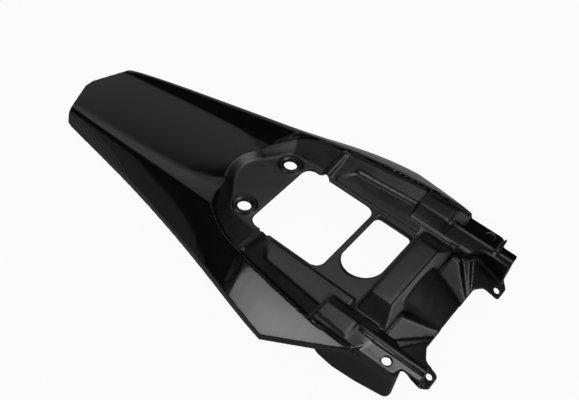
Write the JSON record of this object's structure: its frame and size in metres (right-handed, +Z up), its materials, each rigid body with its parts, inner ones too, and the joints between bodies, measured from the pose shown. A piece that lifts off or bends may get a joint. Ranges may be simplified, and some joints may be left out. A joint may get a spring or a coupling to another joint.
{
  "type": "motorcycle rear fender",
  "caption": "Moulded rear fender: a ridged tail blade with turned-down skirts, a sunken tray with openings, a cross bridge, and bolt strips, tabs and side wings at the front.",
  "frame": {"origin": "midway between the two boss holes, level with the tray's shelf", "axes": "+X across, +Y back to the tail tip, +Z up"},
  "size_m": [0.327, 0.6078, 0.0714],
  "materials": {
    "fender_plastic": "black, glossy on the blade and skirts, satin in the tray"
  },
  "bodies": {
    "root": {"rear_fender": "fender_plastic"}
  },
  "joints": []
}
